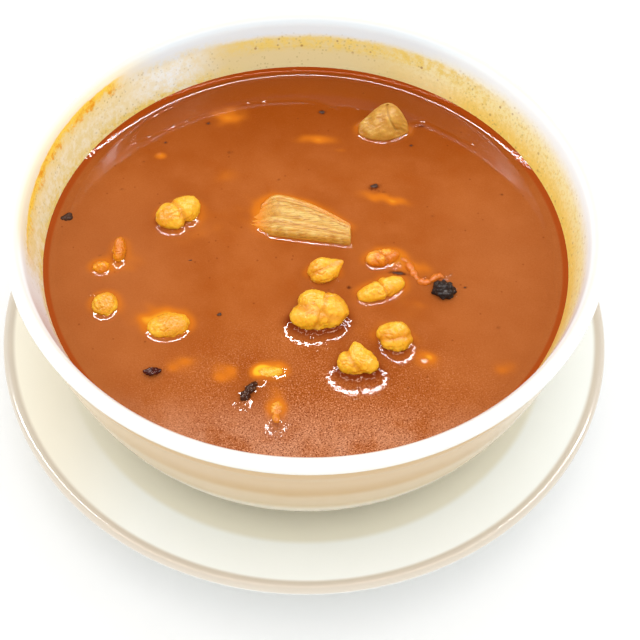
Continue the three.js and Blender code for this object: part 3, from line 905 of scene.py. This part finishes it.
class Look:
    """A material or a room's light that is built from nodes."""

    def __init__(self, owner):
        self.owner = owner
        self.owner.use_nodes = True
        self.tree = self.owner.node_tree
        self.tree.nodes.clear()

    def node(self, kind, settings, inputs, output=0):
        """Adds a node: first its settings, then the values or links of its sockets."""
        made = self.tree.nodes.new(kind)
        for key, value in settings.items():
            setattr(made, key, value)
        for key, value in inputs.items():
            if isinstance(value, Value):
                self.tree.links.new(value.socket, made.inputs[key])
            else:
                made.inputs[key].default_value = value
        return Value(self, made.outputs[output] if made.outputs else None)

    def parts(self):
        """The x, y and z of the place."""
        return [self.node("ShaderNodeSeparateXYZ", {}, {0: self.place}, i) for i in range(3)]

    def noise(self, size, detail=3, roughness=0.5, place=None):
        """Cloudy noise of about one size in millimetres, from 0 to 1."""
        inputs = {"Vector": place or self.place, "Scale": 1 / size, "Detail": detail}
        return self.node("ShaderNodeTexNoise", {}, {**inputs, "Roughness": roughness})

    def spots(self, size):
        """Distance to the nearest of scattered middles, in spacings of about one size."""
        return self.node("ShaderNodeTexVoronoi", {}, {"Vector": self.place, "Scale": 1 / size})

    def field(self, name):
        return self.node("ShaderNodeAttribute", {"attribute_name": name}, {}, "Fac")

    def mix(self, share, first, second):
        """Two colours mixed by a share."""
        first, second = [c if isinstance(c, Value) else tone(*c) for c in (first, second)]
        return self.node("ShaderNodeMix", {"data_type": "RGBA"}, {0: share, 6: first, 7: second}, 2)

    def paint(self, colour, *layers):
        """A colour with others laid over it, each by its share."""
        for share, over in layers:
            colour = self.mix(share, colour, over)
        return colour

    def bump(self, height, distance):
        """Normals from a height of 0 to 1 that stands for a distance in millimetres."""
        return self.node("ShaderNodeBump", {}, {"Height": height, "Distance": distance * MM})

    def surface(self, colour, roughness, **others):
        """The material, finished with its shader's inputs."""
        inputs = {"Base Color": colour, "Roughness": roughness, **others}
        shader = self.node("ShaderNodeBsdfPrincipled", {}, inputs)
        self.node("ShaderNodeOutputMaterial", {}, {"Surface": shader})
        return self.owner


def new_look(name):
    """A new material to build, with the place on the object in millimetres."""
    look = Look(bpy.data.materials.new(name))
    metres = look.node("ShaderNodeTexCoord", {}, {}, "Object")
    look.place = look.node("ShaderNodeVectorMath", {"operation": "SCALE"}, {0: metres, "Scale": 1 / MM})
    return look


# -------------------------------- materials

# Tones that are named for what they colour, from 0 to 255.
PORCELAIN = (236, 235, 229)
# Painted warm shade on the bowl's outside below the rim: off-white all round, and at the front a tan that
# pales to peach lower down.
SHADE_OFF_WHITE = (232, 223, 206)
PAINTED_SHADE_PEACH = (198, 172, 132)
PAINTED_SHADE_TAN = (188, 152, 97)
INNER_GLAZE = (245, 253, 255)
# Painted shade high on the back of the inside wall.
BACK_WALL_SHADE = (226, 235, 240)
CREAM = (244, 226, 172)
OIL_FILM = (234, 216, 152)
OIL_PALE = (250, 238, 178)
OIL_YELLOW = (250, 212, 104)
BACK_FILM = (228, 209, 152)
TIDE_YELLOW = (236, 208, 112)
FRINGE_YELLOW = (241, 217, 144)
STREAK_YELLOW = (250, 212, 80)
STREAK_ORANGE = (236, 160, 34)
CHILE_BROWN = (150, 92, 34)
CONTACT_ORANGE = (216, 120, 34)
OLIVE = (160, 140, 72)
SPECK_BROWN = (104, 36, 10)
# Pale mottling on crests: a painted highlight.
PALE_CREST_HIGHLIGHT = (250, 214, 132)

# How light spreads in cooked food.
FLESH = {"Subsurface Weight": 0.35, "Subsurface Radius": (1, 0.45, 0.15), "Subsurface Scale": 1.6 * MM}

# Cooked foods: tones of the middle, the crests (a painted highlight), the creases and fibres
# (painted shade in the creases, and the fibres' own darker grain) and the film of broth (which also
# paints shade low down), sizes of the mottling and of the fibres, and how wet each is. Then how the
# fibres are stretched, where a small factor makes them long, and how strongly they show.
FOODS = {
    "hominy": ([(238, 176, 38), (243, 184, 50), (208, 118, 14), (216, 126, 14)], (3, 0.7), 0.62),
    "sunk_hominy": ([(222, 134, 14), (242, 162, 28), (198, 98, 6), (220, 120, 10)], (2, 0.6), 0.9),
    "tripe_ribbon": ([(222, 130, 22), (240, 168, 44), (194, 94, 12), (204, 100, 10)], (2.4, 0.6), 0.9),
    "tripe_slab": (
        [(208, 146, 46), (224, 190, 106), (170, 106, 32), (228, 138, 26)], (2.2, 0.32), 0.85,
        (0.1, 1, 1), 0.7,
    ),
    "meat": (
        [(196, 138, 50), (214, 164, 74), (162, 104, 34), (188, 110, 28)], (2, 0.5), 0.5, (0.5, 1, 1),
    ),
}


def plate_glaze():
    """White glaze with a slight waviness and uneven gloss. Painted shade makes it warmer and darker on
    the left and darker on top of the edge, and a painted shadow of the bowl darkens the well.
    """
    look = new_look("plate_glaze")
    x, y, z = look.parts()
    radius = (x * x + y * y) ** 0.5
    wave = look.noise(22, 2)
    colour = look.paint(
        look.mix(look.noise(60, 2), (248, 252, 250), (245, 250, 249)),
        # Painted shade: warmer and darker on the left side.
        ((0 - x).step(40, 80) * 0.8, (242, 236, 218)),
        # Painted shadow of the bowl over the well.
        (radius.step(79, 76.5), (236, 234, 218)),
        # Painted shade on top of the edge.
        (radius.step(91.6, 93) * z.step(PLATE_TOP_Z - 3, PLATE_TOP_Z - 1), (206, 196, 181)),
    )
    return look.surface(colour, 0.1 + 0.08 * wave, Normal=look.bump(wave, 0.25), IOR=1.5)


def wall_stains(look, clean):
    """The glaze's colour with what the broth left on the inside wall, and how oily it is: an
    orange streak high on the left, a yellow tide mark at the back, an oily wash at the right and
    specks all round. The heading here is 0 at the back and grows to the left."""
    x, y, z = look.parts()
    radius = (x * x + y * y) ** 0.5
    inside = (radius - 0.228 * z).step(65.6, 65.2) * z.between(45, 50, RIM_Z, RIM_Z + 1.4)
    height = z - (SOUP_Z + 0.3)
    heading = x.math("ARCTAN2", 0 - x, y) * (180 / math.pi)
    ragged = look.noise(5, 5, 0.7) - 0.5
    fine = look.noise(1.2, 4, 0.7)
    patchy = look.noise(2.4, 4, 0.7).step(0.36, 0.62)

    line = 15 - 0.0016 * (heading - 52) * (heading - 52)
    above = height + 1.6 * ragged - line
    streak = above.step(1.5, 0.9) * (above + 6 * ragged).step(-3.8, -1.4) * heading.between(46, 53, 92, 106)
    streak = streak * (0.6 * fine + 1.6 * ragged + 0.2 * above).step(-0.25, 0.3)
    streak_tone = look.mix((fine + 2 * ragged).step(0.45, 0.85), STREAK_YELLOW, STREAK_ORANGE)
    fringe = above.between(-6.5, -1.5, 0.8, 1.8) * heading.between(46, 54, 94, 108)
    left = heading.between(14, 30, 140, 172)
    film = left * heading.step(112, 98) * (0.6 + 0.4 * heading.step(46, 54)) * height.step(15.5, 13)
    back = heading.between(-40, -20, 20, 36) * (height + 2 * ragged).step(13.8, 11.8)
    # Painted shade: a greyer tone high on the back of the inside wall.
    shaded_top_back = heading.between(-55, -20, 42, 54) * height.step(11, 13)
    tide = (height + 3 * ragged).between(6.5, 9.5, 11.6, 13) * heading.between(-62, -26, 12, 28)
    low = (height + 3 * ragged).step(6, 1.5)
    wash = (height + 2 * ragged).step(16, 9) * heading.between(-172, -140, -44, -6)
    wash_tone = look.paint(
        look.mix((height + 2 * ragged - 3 * (fine - 0.5)).step(10, 2.5), OIL_PALE, OIL_YELLOW),
        (fine.step(0.46, 0.62) * patchy * 0.7, TIDE_YELLOW),
        (fine.step(0.44, 0.34) * 0.5, OIL_PALE),
    )
    freckle = look.spots(1.3).step(0.36, 0.12) * look.noise(8, 3, 0.6).step(0.4, 0.62)
    blot = look.spots(4).step(0.15, 0.07) * height.step(14.6, 13)
    layers = [
        (shaded_top_back, BACK_WALL_SHADE),
        (heading.between(36, 50, 96, 108) * 0.6, CREAM),
        (film * (0.16 + 0.7 * patchy), OIL_FILM),
        (back * 0.95, BACK_FILM),
        (low * left * (0.4 + 0.6 * patchy), TIDE_YELLOW),
        (wash, wash_tone),
        (tide * (0.2 + 0.8 * patchy), TIDE_YELLOW),
        (fringe * 0.75, FRINGE_YELLOW),
        (streak, streak_tone),
        (freckle * height.step(14.6, 12.6) * 0.4, OLIVE),
        (blot * (streak + tide + 0.6 * wash).clear() * 0.7, CHILE_BROWN),
        (height.step(1.2, 0.6) * 0.85, CONTACT_ORANGE),
    ]
    colour = look.mix(inside, clean, INNER_GLAZE)
    colour = look.paint(colour, *[(inside * share, over) for share, over in layers])
    return colour, inside * (streak + tide + wash + low).clear()


def bowl_glaze():
    """White glaze, stained inside above the broth. On the outside wall below the rim it has painted
    warm shade: off-white all round, and a tan at the front that pales downwards."""
    look = new_look("bowl_glaze")
    _, y, z = look.parts()
    wave = look.noise(20, 2)
    # Painted warm shade under the rim: tan at the front, paler peach lower down, off-white elsewhere.
    front_shade = look.mix((z + 3 * wave).step(54, 50), PAINTED_SHADE_TAN, PAINTED_SHADE_PEACH)
    front_shade = look.mix(z.step(53, 60) * 0.22, front_shade, SHADE_OFF_WHITE)
    front = (y + 10 * wave).step(-26, -68) * z.step(34, 42)
    below_rim = z.step(RIM_Z - 2.5, RIM_Z - 6)
    clean = look.mix(below_rim, PORCELAIN, look.mix(front, SHADE_OFF_WHITE, front_shade))
    colour, oily = wall_stains(look, clean)
    normal = look.bump(wave + 0.4 * oily * look.noise(1.2), 0.2)
    return look.surface(colour, 0.1 + 0.08 * wave + 0.15 * oily, Normal=normal, IOR=1.5)


def broth_look():
    """Cloudy red chile broth, mirror smooth, glowing orange to yellow over sunk food, with fine specks,
    and froth towards the front. Painted reflections make it paler and pinker at the sides and darker
    and redder at the back and in a band along the wall; the froth's pale veil and pale dots are
    partly painted sheen."""
    look = new_look("broth")
    x, y, _ = look.parts()
    radius = (x * x + y * y) ** 0.5
    glow, shade, froth, smudge = [look.field(name) for name in FIELDS]
    drifts = look.noise(8, 3)
    sides = (x * x) ** 0.5
    # Pale patches at the front: froth, partly painted sheen.
    pale_froth_and_sheen = (0 - y).step(50, 70) * look.noise(9, 3).step(0.25, 0.6)
    fine = look.noise(0.42, 3, 0.75)
    blurred = glow + 0.1 * (look.noise(2.5, 3) - 0.5) * glow
    colour = look.paint(
        look.mix(look.noise(26, 3, 0.55).step(0.3, 0.75), (158, 80, 29), (169, 91, 39)),
        (drifts.step(0.45, 0.75) * 0.35, (176, 98, 48)),
        (drifts.step(0.5, 0.25) * 0.35, (154, 70, 14)),
        # Painted reflection: paler and pinker at the sides.
        (sides.step(22, 62) * y.step(42, 0) * 0.5, (172, 100, 54)),
        # Painted reflection of the dim back wall: darker and redder at the back.
        (y.step(24, 64) * 0.85, (140, 62, 8)),
        # Pale froth at the front, partly painted sheen.
        (pale_froth_and_sheen * 0.7, (200, 140, 106)),
        (fine.step(0.53, 0.62) * (0.1 + 0.9 * froth), SPECK_BROWN),
        # Pale froth dots, partly painted glints.
        (fine.step(0.46, 0.35) * (0.04 + 0.86 * froth), (226, 158, 116)),
        (look.spots(4.6).step(0.09, 0.05) * 0.4, SPECK_BROWN),
        (blurred.step(0.04, 0.55) * 0.85, (206, 112, 26)),
        (blurred.step(0.5, 1.1), (246, 178, 44)),
        (shade.step(0.15, 0.85) * 0.8, (108, 34, 8)),
        (smudge.step(0.08, 0.8) * 0.85, (84, 34, 16)),
        # Painted reflection: a darker red band where the broth climbs the wall.
        (radius.step(SHORE_R - 2.1, SHORE_R - 1.3) * 0.75, (162, 64, 14)),
    )
    grains = look.bump(look.noise(0.38, 2, 0.6) * (0.02 + 0.98 * froth), 0.011)
    return look.surface(colour, 0.03 + 0.03 * froth, Normal=grains, IOR=1.24)


def food_look(name, tones, sizes, wet, grain=(1, 1, 1), fibres=0.15):
    """Wet cooked food with mottling: painted shade darkens the creases and painted highlights pale the
    crests, and a film of broth colours it where it enters the surface or is thin, which also paints
    shade on its low parts."""
    look = new_look(name)
    middle, crest_highlight_tone, grain_and_shade_tone, film = tones
    crest, crease = look.field("crest"), look.field("crease")
    mottle = look.noise(sizes[0], 4, 0.6)
    grained = look.node("ShaderNodeVectorMath", {"operation": "MULTIPLY"}, {0: look.place, 1: grain})
    lift = look.field("lift") + 0.35 * (mottle - 0.5)
    colour = look.paint(
        # Painted highlight: paler on crests.
        look.mix((crest * 0.8 + mottle * 0.5).step(0.45, 1.15), middle, crest_highlight_tone),
        # Pale mottling on crests, a painted highlight.
        (mottle.step(0.56, 0.76) * crest * 0.5, PALE_CREST_HIGHLIGHT),
        (look.noise(sizes[1], 3, 0.65, grained).step(0.5, 0.62) * fibres, grain_and_shade_tone),
        # Painted shade between the lobes.
        ((1 - crest).step(0.7, 1) * 0.42, grain_and_shade_tone),
        # Painted shade in creases and folds.
        (crease.step(0.3, 1) * 0.46, grain_and_shade_tone),
        # Film of broth low down and where thin, which also paints shade on the low parts.
        ((lift.step(0.36, 0.02) * wet + look.field("thin")).clear(), film),
    )
    relief = look.bump(look.noise(sizes[1], 3, 0.6, grained), 0.18)
    return look.surface(colour, 0.24 + 0.2 * mottle, Normal=relief, IOR=1.33, **FLESH)


def dark_look(name, colour, sheen, depth, dull):
    """A charred or leathery bit: dark, mottled with a lighter tone, crumpled to a depth, and more or less
    dull."""
    look = new_look(name)
    mottle = look.noise(0.9, 4, 0.7)
    colour = look.mix(mottle.step(0.5, 0.75), colour, sheen)
    return look.surface(colour, dull + 0.16 * mottle, Normal=look.bump(look.noise(0.6, 3), depth), IOR=1.25)


# -------------------------------- putting it together


def add_piece(name, shape, look, slot, *nodes):
    """A piece of the part, which stands for the CAD nodes that it names."""
    piece = put_mesh(name, shape, look)
    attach(piece, "root")
    if nodes:
        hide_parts(*nodes)


def add_tableware():
    add_piece("underplate", closed_shape(turned(plate_profile())), plate_glaze(), "plate_glaze", "plate")
    add_piece("soup_bowl", closed_shape(turned(bowl_profile())), bowl_glaze(), "bowl_glaze", "bowl")


def add_broth():
    """The body of broth, the collars round the food, its edge, its lines and the bubbles."""
    look = broth_look()
    add_piece("chile_broth", broth_shape(), look, "broth", "broth")
    collars = [collar_shape(shore, -0.5) for shore in FOOD_SHORES]
    collars += [collar_shape(shore, -9, 22) for shore in DIMPLE_SHORES]
    lines = [line_shape(*line) for line in SKIN_LINES]
    shapes = {"menisci": joined(collars), "edge": edge_shape(), "skin_lines": joined(lines)}
    shapes["bubbles"] = bubbles_shape()
    for name, shape in shapes.items():
        add_piece(f"broth_{name}", shape, look, "broth")


def add_food():
    """Kernels of hominy, the strip of tripe with its curl, the slab of tripe and the meat."""
    looks = {name: food_look(name, *settings) for name, settings in FOODS.items()}
    for name, lump in LUMPS.items():
        shape = closed_shape(*lump_grid(lump))
        if name == "tripe_strip":
            curl = curl_grid()
            fields = {key: np.full(curl.shape[:2], CURL_FIELD) for key in shape[2]}
            shape = joined([shape, closed_shape(curl, fields)])
            add_piece("tripe_ribbon", shape, looks["tripe_ribbon"], "tripe", name)
        else:
            look = looks["sunk_hominy" if name in SUNK_KERNELS else "hominy"]
            add_piece(name.replace("hominy", "kernel"), shape, look, "hominy", name)
    add_piece("ribbed_tripe", closed_shape(*tripe_grid()), looks["tripe_slab"], "tripe", "tripe_slab")
    add_piece("meat_wedge", closed_shape(*meat_grid()), looks["meat"], "meat", "meat_chunk")


def add_bits():
    """Burnt chile, herb, chile skin and the small dark bits."""
    for name, (look, lump) in BITS.items():
        add_piece(name, bit_shape(lump), dark_look(*look), "broth")
    brown = dark_look("brown_bits", (72, 38, 18), (104, 60, 30), 0.2, 0.4)
    add_piece("dark_bits", crumbs_shape(), brown, "broth")


# -------------------------------- table, light and camera

CAMERA_AT = (2.65, -205.45, 302.09)
CAMERA_PITCH = 54.28  # downwards
CAMERA_YAW = -0.57
CAMERA_ROLL = 2.11
FOCAL_PIXELS = 1075.83
FRAME_PIXELS = 640
SENSOR = 36
TABLE_HALF = 3000
ROOM_LIGHT = 1.5


def add_camera():
    data = bpy.data.cameras.new("camera")
    data.sensor_width = SENSOR
    data.lens = FOCAL_PIXELS * SENSOR / FRAME_PIXELS
    camera = new_object("camera", data)
    place = Matrix.Translation([c * MM for c in CAMERA_AT])
    for degrees, axis in ((CAMERA_YAW, "Z"), (90 - CAMERA_PITCH, "X"), (CAMERA_ROLL, "Z")):
        place = place @ Matrix.Rotation(math.radians(degrees), 4, axis)
    camera.matrix_world = place
    bpy.context.scene.camera = camera


def add_table():
    look = new_look("table")
    colour = look.mix(look.noise(90, 2), (226, 226, 225), (222, 222, 221))
    top = look.surface(colour, 0.6 + 0.1 * look.noise(5))
    corners = TABLE_HALF * np.array([(-1, -1, 0), (1, -1, 0), (1, 1, 0), (-1, 1, 0)])
    put_mesh("table", (corners, [np.array([[0, 1, 2, 3]])], {}), top)


def add_light(name, at, size, watts, colour):
    """A rectangular light at a place in metres, turned to the middle of the broth. It shows only
    as a reflection."""
    data = bpy.data.lights.new(name, "AREA")
    data.shape = "RECTANGLE"
    data.size, data.size_y = size
    data.energy = watts
    data.color = colour
    light = new_object(name, data)
    light.visible_diffuse = False
    away = Vector(at) - Vector((0, 0, SOUP_Z * MM))
    light.matrix_world = Matrix.Translation(at) @ away.to_track_quat("Z", "Y").to_matrix().to_4x4()


def add_room():
    """Soft even light from all round. It gives no reflections, which come from two long strips
    overhead, one behind the bowl and one over its middle."""
    look = Look(bpy.data.worlds.new("room"))
    background = look.node("ShaderNodeBackground", {}, {"Color": (1, 1, 1, 1), "Strength": ROOM_LIGHT})
    look.node("ShaderNodeOutputWorld", {}, {"Surface": background})
    bpy.context.scene.world = look.owner
    look.owner.cycles_visibility.glossy = False
    add_light("back_strip", (0, 0.36, 1.06), (2.6, 0.043), 45, (1, 1, 1))
    add_light("middle_strip", (0, -0.1, 1.06), (1.2, 0.04), 4.6, (1, 0.74, 0.56))
    bpy.context.scene.view_settings.view_transform = "Standard"


add_camera()
add_table()
add_room()
add_tableware()
add_broth()
add_food()
add_bits()
